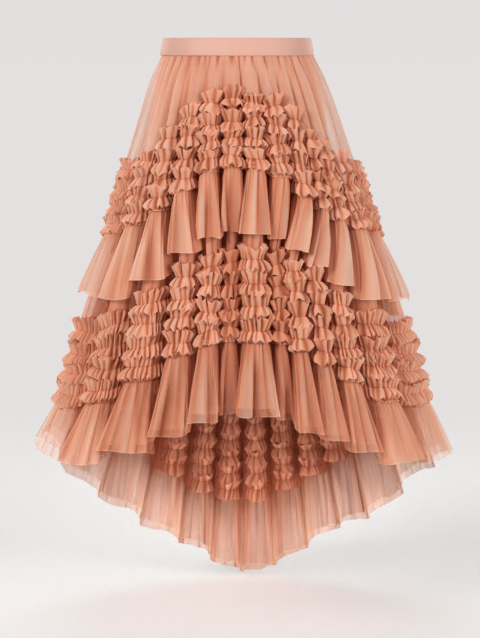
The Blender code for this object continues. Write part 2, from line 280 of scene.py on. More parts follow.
SEAM_COLUMNS = ("angle", "upper_band_top", "upper_band_foot", "upper_hem",
                "lower_band_top", "lower_band_foot", "hem")
SEAMS = (
    (0, -0.077, -0.206, -0.318, -0.353, -0.503, -0.631),
    (10, -0.080, -0.208, -0.325, -0.358, -0.507, -0.638),
    (20, -0.087, -0.222, -0.342, -0.372, -0.522, -0.664),
    (30, -0.106, -0.253, -0.376, -0.402, -0.552, -0.686),
    (40, -0.142, -0.284, -0.414, -0.440, -0.592, -0.710),
    (50, -0.174, -0.306, -0.440, -0.470, -0.620, -0.730),
    (60, -0.195, -0.318, -0.449, -0.486, -0.632, -0.737),
    (75, -0.207, -0.331, -0.453, -0.498, -0.640, -0.738),
    (90, -0.212, -0.337, -0.455, -0.503, -0.645, -0.738),
    (110, -0.238, -0.362, -0.480, -0.530, -0.665, -0.760),
    (130, -0.290, -0.418, -0.540, -0.600, -0.732, -0.853),
    (150, -0.350, -0.480, -0.603, -0.680, -0.812, -0.935),
    (165, -0.398, -0.529, -0.652, -0.736, -0.872, -1.024),
    (174, -0.414, -0.546, -0.670, -0.756, -0.896, -1.067),
    (180, -0.420, -0.552, -0.676, -0.762, -0.905, -1.078),
)

CREASE_COLUMNS = ("upper", "lower", "depth")
CREASES = {
    "front": (
        (-90.0, -90.0, 0.010),
        (-62.0, -61.0, 0.016),
        (-46.5, -44.5, 0.020),
        (-34.5, -28.5, 0.022),
        (-22.4, -16.7, 0.022),
        (-10.2, -8.2, 0.022),
        (2.2, -1.6, 0.022),
        (14.2, 10.2, 0.022),
        (26.6, 15.9, 0.022),
        (36.2, 23.1, 0.022),
        (43.3, 31.5, 0.022),
        (53.2, 42.0, 0.020),
        (67.4, 59.7, 0.016),
        (90.0, 90.0, 0.010),
    ),
    "back": (
        (90.0, 90.0, 0.010),
        (109.0, 112.0, 0.014),
        (124.0, 130.0, 0.017),
        (137.0, 143.0, 0.020),
        (148.5, 152.5, 0.020),
        (159.0, 162.0, 0.021),
        (170.5, 171.0, 0.022),
        (181.5, 180.0, 0.022),
        (193.0, 188.5, 0.021),
        (205.0, 197.5, 0.020),
        (217.0, 209.0, 0.020),
        (231.0, 224.0, 0.017),
        (248.0, 246.0, 0.014),
        (270.0, 270.0, 0.010),
    ),
}
LEVEL_SHARE = 0.7        # how level a seam runs across each big fold: 1 is quite level
print("folds:", {side: len(rows) - 1 for side, rows in CREASES.items()})

# %% [markdown]
# ## Reading the tables
# A smooth curve through a table's rows gives any size in between. The plain wall is an oval
# at each level, and each point of it knows which way is straight out.

# %% Reading the tables
def column(table, names, name):
    """One column of a table, found by its name."""
    return np.array([row[names.index(name)] for row in table], dtype=float)


def smooth_read(places, values, at):
    """Read a table along a smooth curve through its rows."""
    slopes = np.gradient(values, places)
    at = np.clip(at, places[0], places[-1])
    row = np.clip(np.searchsorted(places, at, side="right") - 1, 0, len(places) - 2)
    span = places[row + 1] - places[row]
    s = (at - places[row]) / span
    return ((2 * s**3 - 3 * s**2 + 1) * values[row] + (s**3 - 2 * s**2 + s) * span * slopes[row]
            + (3 * s**2 - 2 * s**3) * values[row + 1] + (s**3 - s**2) * span * slopes[row + 1])


def section(table, name, height):
    """One size of the plain wall at a height."""
    places = column(table, SECTION_COLUMNS, "height")[::-1]
    return smooth_read(places, column(table, SECTION_COLUMNS, name)[::-1], height)


def seam_height(name, angle):
    """The height of a seam at an angle. It is the same on the left and on the right."""
    from_front = np.abs((angle + 180.0) % 360.0 - 180.0)
    return smooth_read(column(SEAMS, SEAM_COLUMNS, "angle"), column(SEAMS, SEAM_COLUMNS, name),
                       from_front)


def plain_wall(table, angle, height, move=0.0):
    """Points of the wall at angles and heights, moved straight out by some distance."""
    turn = np.radians(angle)
    half_width = section(table, "half_width", height)
    depth = np.where(np.cos(turn) > 0, section(table, "front_depth", height),
                     section(table, "back_depth", height))
    points = np.stack([section(table, "middle", height) + half_width * np.sin(turn),
                       -depth * np.cos(turn), height + 0 * turn], axis=-1)
    out = np.stack([np.sin(turn) / half_width, -np.cos(turn) / depth, 0 * turn], axis=-1)
    out /= np.linalg.norm(out, axis=-1, keepdims=True)
    return points + out * np.asarray(move)[..., None]


print("hem in front and behind:", round(float(seam_height("hem", np.array(0.0))), 3),
      round(float(seam_height("hem", np.array(180.0))), 3))

# %% [markdown]
# ## Folds
# A place along the half skirt is a number: 0 at one side seam, 1 at the first crease, and so
# on. Between two creases the cloth comes forward in one big fold. `squeeze` narrows the
# crease and widens the top of the fold, until from about 1 the fold swings over its own
# sides like a real one.

# %% Folds
UNEVEN_STAND = 0.0025    # metres by which each fold stands out a little more or less
FOLD_TOP = 2.5           # the higher, the broader the top of a fold
SEAM_STEP = 4            # the higher, the more sudden a seam's step down in the crease
SET_BACK = {             # folds that lie behind the others, in the upper and lower tiers
    "front": ({}, {5: 0.012, 7: 0.012}),
    "back": ({2: 0.006, 9: 0.007}, {3: 0.008, 8: 0.006}),
}


class Half:
    """The big folds of the front or the back, read at any place along it."""

    def __init__(self, creases, set_back, seed):
        self.folds = len(creases) - 1
        uneven = np.random.default_rng(seed).uniform(-1, 1, (2, self.folds)) * UNEVEN_STAND
        self.set_back = uneven + np.array([[tier.get(fold, 0.0) for fold in range(self.folds)]
                                           for tier in set_back])
        self.rows = np.arange(len(creases))
        self.upper = column(creases, CREASE_COLUMNS, "upper")
        self.lower = column(creases, CREASE_COLUMNS, "lower")
        self.depths = column(creases, CREASE_COLUMNS, "depth")
        self.knots = np.concatenate([[0.0], np.arange(self.folds) + 0.5, [self.folds]])

    def places(self, per_fold):
        """Places along the half, so many to a fold."""
        return np.linspace(0, self.folds, self.folds * per_fold + 1)

    def angle(self, place, lowness, squeeze=0.0):
        """The angle at a place. `lowness` is 0 on the upper creases and 1 on the lower ones."""
        moved = place - squeeze / (2 * np.pi) * np.sin(2 * np.pi * place)
        upper = np.interp(moved, self.rows, self.upper)
        return upper + (np.interp(moved, self.rows, self.lower) - upper) * lowness

    def crease(self, place, broad):
        """0 on top of a fold and 1 in the crease. `broad` folds leave a narrow crease."""
        return ((1 + np.cos(2 * np.pi * place)) / 2)**broad

    def depth(self, place):
        """How deep the creases are here."""
        return np.interp(place, self.rows, self.depths)

    def behind(self, place, lowness):
        """How far a fold lies behind its neighbours."""
        upper, lower = self.set_back[:, self.fold_at(place)]
        return (upper + (lower - upper) * lowness) * self.swell(place)

    def fold_at(self, place):
        """The number of the fold at a place."""
        return np.minimum(np.floor(place), self.folds - 1).astype(int)

    def swell(self, place):
        """1 on top of a fold and 0 in the crease."""
        return 1 - np.abs(2 * (place % 1) - 1)**FOLD_TOP

    def seam(self, name, place, lowness, level_share=LEVEL_SHARE):
        """A seam's heights: almost level across a fold, with the step down in the crease."""
        heights = seam_height(name, self.angle(self.knots, lowness))
        sloping = np.interp(place, self.knots, heights)
        fold = self.fold_at(place)
        level = level_share * (1 - np.abs(2 * (place - fold) - 1)**SEAM_STEP)
        return sloping + (heights[fold + 1] - sloping) * level


HALVES = {side: Half(creases, SET_BACK[side], seed)
          for seed, (side, creases) in enumerate(CREASES.items())}
print("first creases in front, in degrees:", HALVES["front"].angle(np.arange(4.0), 0.0))

# %% [markdown]
# ## Chance and gathers
# Gathers are never even. `wander` is a smooth random line, and it drives their spacing and
# their size. It always starts from a fixed number, so each run gives the same skirt. Most
# gathers are round ridges. Those that run down a flounce flatten into pleats.

# %% Chance and gathers
WANDER_STEPS = 4096
PHASE_STRAYS = 0.5       # of a turn at most, from even spacing
STRAYS_WITHIN = 2.1      # pitches
RIDGE_HEIGHT = 1.8       # takes a ridge from about -0.8 in its valley to 0.8 on top
RIDGE_ROUNDING = 0.012   # rounds the bottom of the valleys
PLEAT_FACE = 0.8         # of a pleat's pitch is its face, and the rest turns back
SEED_STEP = 100          # between the fixed numbers of pieces, so that no two are alike


def wander(at, spacing, seed):
    """A smooth random line between -1 and 1 that turns about once in each spacing."""
    table = np.random.default_rng(seed).uniform(-1, 1, WANDER_STEPS)
    step = at / spacing
    cell = np.floor(step).astype(int)
    t = step - cell
    t = t * t * (3 - 2 * t)
    return table[cell % WANDER_STEPS] * (1 - t) + table[(cell + 1) % WANDER_STEPS] * t


def uneven_phase(along, pitch, seed):
    """Runs through a full turn about once in each pitch, now faster and now slower."""
    return 2 * np.pi * (along / pitch + PHASE_STRAYS * wander(along, STRAYS_WITHIN * pitch, seed))


def ridge(phase):
    """A row of gathers: round tops with narrow valleys, where the phase is a full turn."""
    return RIDGE_HEIGHT * np.sqrt(np.sin(phase / 2)**2 + RIDGE_ROUNDING) - 1


def pleat(phase):
    """A row of flat pleats: each leans out steadily, then turns back under the next one."""
    share = phase / (2 * np.pi) % 1.0
    return np.interp(share, (0.0, PLEAT_FACE, 1.0), (-1.0, 1.0, -1.0))


def ease(t):
    """Goes smoothly from 0 to 1."""
    t = np.clip(t, 0, 1)
    return t * t * (3 - 2 * t)


def along_wall(grid_row):
    """Distance along a row of points, from its first point."""
    steps = np.linalg.norm(np.diff(grid_row, axis=0), axis=-1)
    return np.concatenate([[0.0], np.cumsum(steps)])


def unit(vectors):
    """The same directions, each of length 1."""
    return vectors / np.maximum(np.linalg.norm(vectors, axis=-1, keepdims=True), 1e-9)


print("a few gathers:", np.round(ridge(uneven_phase(np.linspace(0, 0.02, 5), 0.01, 1)), 2))

# %% [markdown]
# ## From rows of points to cloth
# A sheet is a grid of points, with one face between each four. Its UV map is in metres, so
# that a pattern keeps its real size along the cloth. Its marks become attributes, which the
# finishes read. `edge` is 1 along a hem's cut edge and less on the many edges of the ruffles:
# tulle covers a little more there and gets a light line of painted highlight. `shirr` is 1 on
# a line of gathering stitches and falls to 0 where the gathers have opened: the net covers
# more there and gets painted shade. `full` is 1 where the net is gathered so fully that it
# lies in several layers. Towards the side seams there is less of it, and it looks sheer. The
# mark for depth in a fold is painted shade: it grows towards the bottom of a fold, in the
# valleys between gathers, towards a ruffle's stitches, on folds that lie behind the others and
# inside the skirt, and turns the colour darker and redder. `crisp` keeps a fold sharp: its
# edges are marked.

# %% Making meshes
def cloth_object(name, sheets, material):
    """One mesh from sheets: dicts with grid, along and down, and any of the marks below."""
    points, quads, uvs = [], [], []
    marks = {"edge": [], "shirr": [], "full": [], "painted_shade": [], "crisp": []}
    start = 0
    for sheet in sheets:
        grid = sheet["grid"]
        shape = grid.shape[:2]
        index = start + np.arange(shape[0] * shape[1]).reshape(shape)
        corners = (index[:-1, :-1], index[1:, :-1], index[1:, 1:], index[:-1, 1:])
        quads.append(np.stack(corners, axis=-1).reshape(-1, 4))
        points.append(grid.reshape(-1, 3))
        uvs.append(np.stack([np.broadcast_to(sheet["along"], shape),
                             np.broadcast_to(sheet["down"], shape)], axis=-1).reshape(-1, 2))
        for label, values in marks.items():
            values.append(np.broadcast_to(sheet.get(label, 0.0), shape).reshape(-1))
        start += shape[0] * shape[1]
    points, quads, uvs = np.concatenate(points), np.concatenate(quads), np.concatenate(uvs)
    mesh = bpy.data.meshes.new(name)
    mesh.vertices.add(len(points))
    mesh.vertices.foreach_set("co", points.astype(np.float32).ravel())
    mesh.loops.add(quads.size)
    mesh.loops.foreach_set("vertex_index", quads.astype(np.int32).ravel())
    mesh.polygons.add(len(quads))
    mesh.polygons.foreach_set("loop_start", np.arange(0, quads.size, 4, dtype=np.int32))
    mesh.update(calc_edges=True)
    mesh.uv_layers.new(name="cloth").uv.foreach_set("vector", uvs[quads.ravel()].astype(
        np.float32).ravel())
    for label, values in marks.items():
        made = mesh.attributes.new(label, "FLOAT", "POINT")
        made.data.foreach_set("value", np.concatenate(values).astype(np.float32))
    mesh.shade_smooth()
    ends = np.empty(2 * len(mesh.edges), dtype=np.int32)
    mesh.edges.foreach_get("vertices", ends)
    crisp = np.concatenate(marks["crisp"]) > 0.5
    sharp = mesh.attributes.new("sharp_edge", "BOOLEAN", "EDGE")
    sharp.data.foreach_set("value", crisp[ends].reshape(-1, 2).all(axis=1))
    mesh.materials.append(material)
    piece = bpy.data.objects.new(name, mesh)
    bpy.context.scene.collection.objects.link(piece)
    print(f"{name}: {2 * len(quads)} triangles")
    return piece


def dress(piece, nodes, flat):
    """Attach a finished piece of cloth to the root, hide the solids it stands for, and print its
    area over its cut.
    """
    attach(piece, "root")
    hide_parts(*nodes)
    share = sum(face.area for face in piece.data.polygons) / (flat[0] * flat[1])
    print(f"{piece.name}: cut {flat[0]:.2f} by {flat[1]:.3f} m, area over cut {share:.2f}")


# %% [markdown]
# ## Tulle
# Every tulle piece shares one recipe. How much one layer covers is a plain share, but the
# more edge-on the net is seen, the more threads are in the way: the open part is raised to
# the power of one over the cosine of that angle. The colour paints light and shade: a painted
# highlight on top of a fold and on a cut edge, and painted shade, darker and redder, inside a
# fold. Net cells show when seen from close by.

# %% Tulle: sizes and colours
NET_CELLS = 850.0        # across a metre
NET_CONTRAST = 0.12      # by which a thread covers more and a hole less than the mean
THREAD_EDGES = (0.02, 0.35)      # of a cell: up to the first is thread, from the second on hole
TULLE_PAINTED_LIGHT = (0.96, 0.60, 0.44, 1.0)      # painted highlight on top; then the plain colour between, and painted shade inside the folds
TULLE = (0.83, 0.345, 0.205, 1.0)
TULLE_PAINTED_SHADE = (0.38, 0.09, 0.043, 1.0)
TULLE_AT = 0.42          # of the painted shade, at which the plain middle colour is reached
SIDE_PAINTED_SHADE = 0.4         # of the painted shade is left where the net isn't full
CLOUD_SCALE = 11.0       # clouds of colour are some 90 mm wide
CLOUD_DEPTH = 0.3        # how much they change the depth of the colour
STREAK_SCALE = 85.0      # streaks paint the light and shade of faint small pleats, some 12 mm wide
STREAK_LENGTH = 15.0     # times their width
# how much the streaks' painted light and shade change the colour
STREAK_LIGHT_AND_SHADE = 0.65
STREAK_COVER = 0.6       # how much they change what a layer covers
SHIRR_SHARPNESS = 2.0    # how quickly a line of stitches fades into the cloth
SHIRR_PAINTED_SHADE = 0.35       # painted shade there, and it covers more
SHIRR_COVER = 0.3
EDGE_SHARPNESS = 2.5     # how quickly the painted highlight of a cut edge fades into the cloth
EDGE_PAINTED_HIGHLIGHT = -0.25       # a painted highlight there, and it covers more
EDGE_COVER = 0.25
LEAST_FACING = 0.14      # so that, edge-on, a layer counts some seven times and never more
MOST_COVER = 0.97        # of one layer
print("a net cell:", round(1000 / NET_CELLS, 1), "mm")

# %% Tulle: the recipe
def make_tulle(name, sheer, dense, least_painted_shade, redness=1.0):
    """Soft net. One layer covers from `sheer`, where it is scarce, to `dense`.
    Its least painted shade, where it lies on top, comes after `dense`, and `redness` is a
    share of the red of its colours."""
    material = bpy.data.materials.new(name)
    material.use_nodes = True
    tree = material.node_tree
    shader = tree.nodes["Principled BSDF"]
    places = add_node(tree, "ShaderNodeTexCoord").outputs
    edge, shirr, full, painted_shade = [
        add_node(tree, "ShaderNodeAttribute", {"attribute_name": label}).outputs["Fac"]
        for label in ("edge", "shirr", "full", "painted_shade")]
    edge = sums(tree, "POWER", edge, EDGE_SHARPNESS)
    shirr = sums(tree, "POWER", shirr, SHIRR_SHARPNESS)

    cloud = add_node(tree, "ShaderNodeTexNoise", values={"Scale": CLOUD_SCALE, "Detail": 3.0},
                     links={"Vector": places["Object"]}).outputs["Fac"]
    stretched = add_node(tree, "ShaderNodeMapping", values={"Scale": (1, 1 / STREAK_LENGTH, 1)},
                         links={"Vector": places["UV"]}).outputs["Vector"]
    streak = add_node(tree, "ShaderNodeTexNoise", {"noise_dimensions": "2D"},
                      {"Scale": STREAK_SCALE, "Detail": 2.0}, {"Vector": stretched}
                      ).outputs["Fac"]
    cloud, streak = [sums(tree, "SUBTRACT", noise, 0.5) for noise in (cloud, streak)]
    # Painted shade from folds and gathers, weaker where the net is sheer. Streaks add the painted
    # light and shade of faint pleats, stitches painted shade, cut edges a painted highlight, and
    # clouds a random tone.
    some_painted_shade = sums(tree, "MULTIPLY", painted_shade, sums(
        tree, "ADD", sums(tree, "MULTIPLY", full, 1 - SIDE_PAINTED_SHADE), SIDE_PAINTED_SHADE))
    depth = sums(tree, "MULTIPLY", cloud, CLOUD_DEPTH)
    for mark, share in ((streak, STREAK_LIGHT_AND_SHADE), (some_painted_shade, 1.0), (shirr, SHIRR_PAINTED_SHADE),
                        (edge, EDGE_PAINTED_HIGHLIGHT)):
        depth = sums(tree, "ADD", depth, sums(tree, "MULTIPLY", mark, share))
    # The ramp paints light and shade: a painted highlight where the sum is low, then the plain
    # colour, and painted shade where it is high.
    ramp = add_node(tree, "ShaderNodeValToRGB", links={
        "Fac": sums(tree, "ADD", depth, least_painted_shade)})
    ramp.color_ramp.elements.new(TULLE_AT)
    for element, colour in zip(ramp.color_ramp.elements, (TULLE_PAINTED_LIGHT, TULLE, TULLE_PAINTED_SHADE)):
        element.color = (redness * colour[0], *colour[1:])

    net = add_node(tree, "ShaderNodeTexVoronoi",
                   {"voronoi_dimensions": "2D", "feature": "DISTANCE_TO_EDGE"},
                   {"Scale": NET_CELLS}, {"Vector": places["UV"]}).outputs["Distance"]
    thread = add_node(tree, "ShaderNodeMapRange", values={
        "From Min": THREAD_EDGES[0], "From Max": THREAD_EDGES[1], "To Min": 1 + NET_CONTRAST,
        "To Max": 1 - NET_CONTRAST}, links={"Value": net}).outputs["Result"]
    edge_on = add_node(tree, "ShaderNodeLayerWeight", values={"Blend": 0.5}).outputs["Facing"]
    straight = sums(tree, "MAXIMUM", sums(tree, "SUBTRACT", 1.0, edge_on), LEAST_FACING)
    layer = sums(tree, "ADD", sums(tree, "MULTIPLY", full, dense - sheer), sheer)
    layer = sums(tree, "MULTIPLY", layer, sums(
        tree, "ADD", sums(tree, "MULTIPLY", streak, STREAK_COVER), 1.0))
    extra = sums(tree, "ADD", sums(tree, "MULTIPLY", edge, EDGE_COVER),
                 sums(tree, "MULTIPLY", shirr, SHIRR_COVER))
    covered = sums(tree, "MULTIPLY", sums(tree, "ADD", layer, extra), thread)
    open_part = sums(tree, "SUBTRACT", 1.0, sums(tree, "MINIMUM", covered, MOST_COVER))
    through = sums(tree, "POWER", open_part, sums(tree, "DIVIDE", 1.0, straight))

    tree.links.new(ramp.outputs["Color"], shader.inputs["Base Color"])
    tree.links.new(sums(tree, "SUBTRACT", 1.0, through), shader.inputs["Alpha"])
    shader.inputs["Roughness"].default_value = 0.9
    shader.inputs["Specular IOR Level"].default_value = 0.08
    return material


print("tulle recipe ready")

# %% Tulle: the finishes
# Each has its cover where it is sheer and where it is full, its least painted shade, and its
# redness.
tulle_panel = make_tulle("tulle, upper panel", 0.14, 0.42, 0.05)
tulle_middle = {"front": make_tulle("tulle, middle panel in front", 0.10, 0.66, 0.22),
                "back": make_tulle("tulle, middle panel behind", 0.12, 0.90, 0.26)}
tulle_flounce = {"front": make_tulle("tulle, upper flounce in front", 0.09, 0.58, 0.02),
                 "back": make_tulle("tulle, upper flounce behind", 0.11, 0.70, 0.14)}
tulle_hem = {"front": make_tulle("tulle, hem flounce in front", 0.07, 0.42, 0.11),
             "back": make_tulle("tulle, hem flounce behind", 0.17, 0.46, 0.21, 0.87)}
tulle_band = make_tulle("tulle, under the ruffles", 0.38, 0.80, 0.24)
tulle_ruffle = make_tulle("tulle, ruffles", 0.50, 0.70, 0.20)
print("tulle finishes:", sum(made.name.startswith("tulle") for made in bpy.data.materials))

# %% [markdown]
# ## Woven cloth
# The waistband's satin and the lining are closely woven, so they have no holes. Their ribs are
# far too fine to model, so they are a bump. Faint clouds keep the colour from looking painted.

# %% Woven cloth
WOVEN_CLOUDS = 30.0      # how fine the clouds are
CLOUD_SHARE = 0.35       # of the darker colour, in the middle of a cloud
CLOUD_DARKNESS = 0.86    # of the plain colour
RIB_WAVINESS = 0.8
RIB_DEPTH = 0.00015      # metres
SHEEN = 0.1


def make_woven(name, colour, roughness, ribs):
    """Closely woven cloth: fine ribs as a bump, and faint clouds in its colour."""
    material = bpy.data.materials.new(name)
    material.use_nodes = True
    tree = material.node_tree
    shader = tree.nodes["Principled BSDF"]
    place = add_node(tree, "ShaderNodeTexCoord").outputs["Object"]
    clouds = add_node(tree, "ShaderNodeTexNoise", values={"Scale": WOVEN_CLOUDS, "Detail": 4.0},
                      links={"Vector": place}).outputs["Fac"]
    darker = tuple(CLOUD_DARKNESS * part for part in colour[:3]) + (1.0,)
    tint = add_node(tree, "ShaderNodeMix", {"data_type": "RGBA"},
                    {MIX_FIRST: colour, MIX_SECOND: darker},
                    {MIX_FACTOR: sums(tree, "MULTIPLY", clouds, CLOUD_SHARE)}
                    ).outputs[MIX_RESULT]
    weave = add_node(tree, "ShaderNodeTexWave", {"bands_direction": "Z"},
                     {"Scale": ribs, "Distortion": RIB_WAVINESS, "Detail Scale": 30.0},
                     {"Vector": place}).outputs["Fac"]
    bump = add_node(tree, "ShaderNodeBump", values={"Strength": 0.25, "Distance": RIB_DEPTH},
                    links={"Height": weave})
    tree.links.new(tint, shader.inputs["Base Color"])
    tree.links.new(bump.outputs["Normal"], shader.inputs["Normal"])
    shader.inputs["Roughness"].default_value = roughness
    shader.inputs["Sheen Weight"].default_value = SHEEN
    return material


satin = make_woven("satin waistband", (0.70, 0.39, 0.298, 1), 0.62, 260.0)
lining_cloth = make_woven("lining cloth", (0.72, 0.30, 0.19, 1), 0.65, 300.0)
print("materials:", sorted(made.name for made in bpy.data.materials))

# %% [markdown]
# ## Waistband
# A wide elastic in a satin cover. A ring of edges is drawn up into a band, given its wall,
# and its four long edges are rounded. Its two ends are ovals of different size, because the
# band leans out over the hips.

# %% Waistband
WAISTBAND_WALL = 0.004
WAISTBAND_STEPS = 160
ROUNDED_SHARE = 0.3      # of the wall, at each long edge
EDGE_ANGLE = 50          # degrees: sharper edges are rounded
SMOOTH_ANGLE = 40


def oval_ring(height):
    """Half width, half depth and middle of the waistband at a height."""
    height = np.array(height)
    half_width = float(section(SECTIONS, "half_width", height))
    front = float(section(SECTIONS, "front_depth", height))
    back = float(section(SECTIONS, "back_depth", height))
    return half_width, (front + back) / 2, (back - front) / 2


low_width, low_depth, low_shift = oval_ring(-WAISTBAND_HEIGHT / 2)
top_width, top_depth, top_shift = oval_ring(WAISTBAND_HEIGHT / 2)
bpy.ops.mesh.primitive_circle_add(vertices=WAISTBAND_STEPS, radius=1,
                                  location=(0, low_shift, -WAISTBAND_HEIGHT / 2))
waistband = bpy.context.object
waistband.name = "waistband_satin"
ring_middle = (0, low_shift, 0)
bpy.ops.object.mode_set(mode="EDIT")
bpy.ops.transform.resize(value=(low_width, low_depth, 1), center_override=ring_middle)
bpy.ops.mesh.extrude_region_move(TRANSFORM_OT_translate={
    "value": (0, top_shift - low_shift, WAISTBAND_HEIGHT)})
bpy.ops.transform.resize(value=(top_width / low_width, top_depth / low_depth, 1),
                         center_override=ring_middle)
bpy.ops.mesh.select_all(action="SELECT")
bpy.ops.mesh.normals_make_consistent(inside=False)
bpy.ops.object.mode_set(mode="OBJECT")
bpy.ops.object.transform_apply(location=True, rotation=True, scale=True)

wall = waistband.modifiers.new("cover", "SOLIDIFY")
wall.thickness = WAISTBAND_WALL
wall.offset = 0
bpy.ops.object.modifier_apply(modifier=wall.name)
rounding = waistband.modifiers.new("rounded edges", "BEVEL")
rounding.width = WAISTBAND_WALL * ROUNDED_SHARE
rounding.segments = 3
rounding.limit_method = "ANGLE"
rounding.angle_limit = math.radians(EDGE_ANGLE)
bpy.ops.object.modifier_apply(modifier=rounding.name)
bpy.ops.object.shade_smooth_by_angle(angle=math.radians(SMOOTH_ANGLE))
waistband.data.materials.append(satin)
WAIST_ROUND = float(along_wall(plain_wall(SECTIONS, np.linspace(0, 360, 361),
                                          np.zeros(361)))[-1])
dress(waistband, ["waistband"], (WAIST_ROUND, WAISTBAND_HEIGHT))
print("round the waist:", round(WAIST_ROUND, 3))

# %% [markdown]
# ## Lining
# The lining is a slim tube of closely woven cloth, sewn in at the waistband. Through one
# layer of net its straight sides show as two soft upright edges. It hangs in a few shallow
# waves, a little stronger at its hem.

# %% Lining
LINING_STEPS = 300
LINING_ROWS = 40
LINING_WAVE = 0.0035     # metres, at the hem
LINING_WAVES = ((9, 1.3, 1.0), (16, 0.0, 0.5))     # how many go round, where they start, size
LINING_OPENS = 1.5       # the higher, the closer to the hem the waves begin
LINING_HEM = 0.008

lining_angle = np.linspace(-180, 180, LINING_STEPS + 1)
lining_turn = np.radians(lining_angle)
lining_top = -WAISTBAND_HEIGHT / 2
lining_heights = np.append(np.linspace(lining_top, lining_top - LINING_LENGTH + LINING_HEM,
                                       LINING_ROWS), lining_top - LINING_LENGTH)
lining_wave = sum(size * np.cos(waves * lining_turn + start)
                  for waves, start, size in LINING_WAVES)
lining_grid = np.array([
    plain_wall(LINING_SECTIONS, lining_angle, np.full(LINING_STEPS + 1, height),
               lining_wave * LINING_WAVE * ((lining_top - height) / LINING_LENGTH)**LINING_OPENS)
    for height in lining_heights])
lining = cloth_object("lining_cloth", [{
    "grid": lining_grid, "along": along_wall(lining_grid[0])[None, :],
    "down": -lining_heights[:, None]}], lining_cloth)
lining_width = float(along_wall(lining_grid[len(lining_grid) // 2])[-1])
dress(lining, ["lining"], (lining_width, LINING_LENGTH))

# %% [markdown]
# ## Folded cloth
# Every tulle piece between the waistband and the hem is one sheet for the front and one for
# the back. A sheet is worked out row by row. First comes the row's line with its big folds,
# then the gathers push each point out along that line's own direction, and `lap` pulls it
# sideways, so that gathers stand out on the sides of a fold as well as on its top.
# The gathers fade out at the side seams, where front and back meet.

# %% Folded cloth
DEEPER_FOLDS = 1.6       # the soft cloth folds deeper than the solids' stiff walls
BAND_SQUEEZE = 0.2
# A row's values: `squeeze` and `broad` shape its big folds, `uneven` is how far these lie one
# behind another, `flare` moves the row out, `dark` is the painted shade of its creases, and
# `relief` the height of gathers that gives their valleys their full painted shade.
BAND_FOLD = {"squeeze": BAND_SQUEEZE, "broad": 1.5, "uneven": 1.0, "flare": 0.0,
             "dark": 1.0, "relief": 0.006}
SIDE_FADE = 0.25         # in folds, from a side seam
FULL_FROM = 0.75         # facing: 0 at a side seam, 1 straight ahead. From here the net is full
MIDDLE_FROM = 0.4        # facing from which the big folds start to deepen
MIDDLE_RISE = 0.5        # and how much more it takes until they are deepest
CREASE_GATHERS = 0.4     # of the full size, in the creases
SIDE_GATHERS = 0.5       # of the full size, towards the sides
SET_BACK_SHADE = 24.0    # of painted shade for each metre that a fold lies behind the others
STRAIGHT_DOWN = (0.0, 0.0, -1.0)
DRIFT = 1.3              # radians that a gather's phase moves on its way down, at most
DRIFTS_WITHIN = 4        # pitches
MEAN_SIZE = 0.7          # of a gather, and how much it varies
SIZE_SPREAD = 0.55
SPREADS_WITHIN = 1.7     # pitches


def side_fade(half, places):
    """0 at a side seam, and 1 a little way from it."""
    return ease(np.minimum(places, half.folds - places) / SIDE_FADE)


def facing(half, places, lowness):
    """1 where the cloth faces straight forward or back, and 0 where it faces sideways."""
    return np.abs(np.cos(np.radians(half.angle(places, lowness))))


def fullness(half, places, lowness):
    """1 over the front and the back, and less within some 50 degrees of a side seam."""
    return ease(facing(half, places, lowness) / FULL_FROM)


def middle(half, places, lowness):
    """1 over the middle of the front or back, where the big folds are deepest."""
    return ease((facing(half, places, lowness) - MIDDLE_FROM) / MIDDLE_RISE)


def folded_line(half, places, row):
    """A row with its big folds alone: height, lowness, folds, and more from BAND_FOLD."""
    angle = half.angle(places, row["lowness"], row["squeeze"])
    deeper = 1 + (DEEPER_FOLDS - 1) * middle(half, places, row["lowness"])
    dip = half.depth(places) * deeper * half.crease(places, row["broad"])
    behind = half.behind(places, row["lowness"]) * row["uneven"]
    return plain_wall(SECTIONS, angle, row["height"], row["flare"] - (dip + behind) * row["folds"])


def in_shade(crease, valley, most):
    """Painted shade in a fold or in a valley between gathers: 0 is on top, 1 right inside."""
    return 1 - (1 - np.clip(crease, 0, 1)) * (1 - most * np.clip(valley, 0, 1))


def folded_sheet(half, places, rows):
    """A grid and its painted shade in the folds. Besides its line's values, a row has gathers and
    laps.
    """
    fade = side_fade(half, places) * (
        CREASE_GATHERS + (1 - CREASE_GATHERS) * half.swell(places)) * (
        SIDE_GATHERS + (1 - SIDE_GATHERS) * middle(half, places, 0.5))
    grid, painted_shade = [], []
    for row in rows:
        line = folded_line(half, places, row)
        ahead = unit(np.gradient(line, axis=0))
        out = unit(np.cross(STRAIGHT_DOWN, ahead))
        grid.append(line + out * (row["gathers"] * fade)[:, None]
                    + ahead * (row["laps"] * fade)[:, None])
        # Painted shade: on folds that lie behind the others, in the creases, and in the valleys
        # between gathers.
        behind = SET_BACK_SHADE * np.maximum(half.behind(places, row["lowness"]), 0)
        crease = row["folds"] * row["dark"] * half.crease(places, row["broad"])
        valley = fade * (0.5 - row["gathers"] / row["relief"])
        painted_shade.append(in_shade(behind + crease, valley, row["shade"]))
    return np.array(grid), np.array(painted_shade)


def finish_sheet(grid_and_deep, full, edge_rows=(), shirr=0.0):
    """Give a grid its cloth coordinates, and mark its cut edges and where it bunches up."""
    grid, painted_shade = grid_and_deep
    lengths = np.linalg.norm(np.diff(grid, axis=0), axis=-1).mean(axis=1)
    number = np.arange(len(grid))[:, None]
    return {"grid": grid, "along": along_wall(grid[len(grid) // 2])[None, :],
            "down": np.concatenate([[0.0], np.cumsum(lengths)])[:, None], "full": full[None, :],
            "painted_shade": painted_shade, "edge": np.isin(number, edge_rows) * 1.0, "shirr": shirr}


